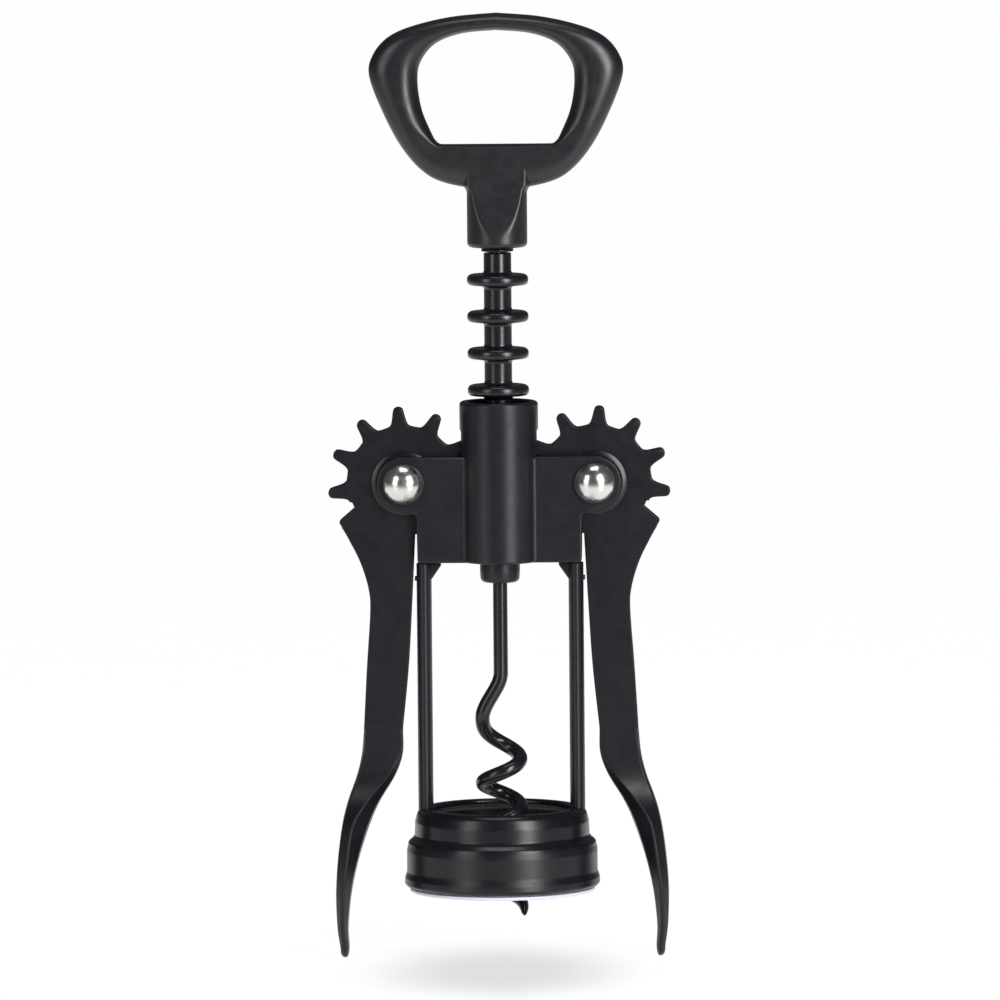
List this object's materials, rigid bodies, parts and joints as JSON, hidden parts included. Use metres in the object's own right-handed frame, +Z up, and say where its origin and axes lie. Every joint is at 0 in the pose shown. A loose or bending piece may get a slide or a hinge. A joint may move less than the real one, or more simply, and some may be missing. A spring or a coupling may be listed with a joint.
{
  "type": "lever corkscrew",
  "caption": "Lever corkscrew with a bottle-opener loop handle, toothed arms that rise as the worm is driven in, a ringed rack, and a bell that sits on the bottle neck.",
  "frame": {"origin": "on the worm's axis, in the plane of the lever tips, with the levers hanging down", "axes": "+Z up along the worm to the handle; +X to the side the right lever hangs on, seen from the front; -Y towards the front"},
  "size_m": [0.0656, 0.0376, 0.1816],
  "materials": {
    "black_metal": "satin black coating over cast metal",
    "lever_metal": "satin black coating with a fine grain",
    "handle_metal": "satin black coating over cast metal",
    "washer_steel": "black-coated steel",
    "worm_steel": "glossy black non-stick coating over steel wire",
    "rivet_steel": "polished steel dome",
    "liner_plastic": "smooth pale plastic"
  },
  "bodies": {
    "frame": {"head_casting": "black_metal", "bell": "black_metal", "bell_liner": "liner_plastic", "left_post": "black_metal", "right_post": "black_metal", "left_pivot_rivet": "rivet_steel", "right_pivot_rivet": "rivet_steel", "left_rivet_cap": "rivet_steel", "right_rivet_cap": "rivet_steel", "left_front_washer": "washer_steel", "right_front_washer": "washer_steel", "left_rear_washer": "washer_steel", "right_rear_washer": "washer_steel"},
    "left_lever": {"left_lever": "lever_metal"},
    "right_lever": {"right_lever": "lever_metal"},
    "rack": {"rack": "black_metal"},
    "spindle": {"handle": "handle_metal", "thrust_washer": "black_metal", "worm": "worm_steel", "worm_ferrule": "black_metal"}
  },
  "joints": [
    {"name": "rack_slide", "type": "slide", "parent": "frame", "child": "rack", "axis": [0, 0, 1], "range_m": [-0.0289, 0]},
    {"name": "handle_turn", "type": "hinge", "parent": "rack", "child": "spindle", "pos_m": [0, 0, 0.1], "axis": [0, 0, 1], "continuous": true},
    {"name": "left_lever_pivot", "type": "hinge", "parent": "frame", "child": "left_lever", "pos_m": [-0.01835, 0, 0.0915], "axis": [0, 1, 0], "range_deg": [0, 128]},
    {"name": "right_lever_pivot", "type": "hinge", "parent": "frame", "child": "right_lever", "pos_m": [0.01835, 0, 0.0915], "axis": [0, -1, 0], "range_deg": [0, 128]}
  ],
  "couplings": [
    {"joint": "left_lever_pivot", "follows": "rack_slide", "rad_per_m": -77.22},
    {"joint": "right_lever_pivot", "follows": "rack_slide", "rad_per_m": -77.22}
  ]
}
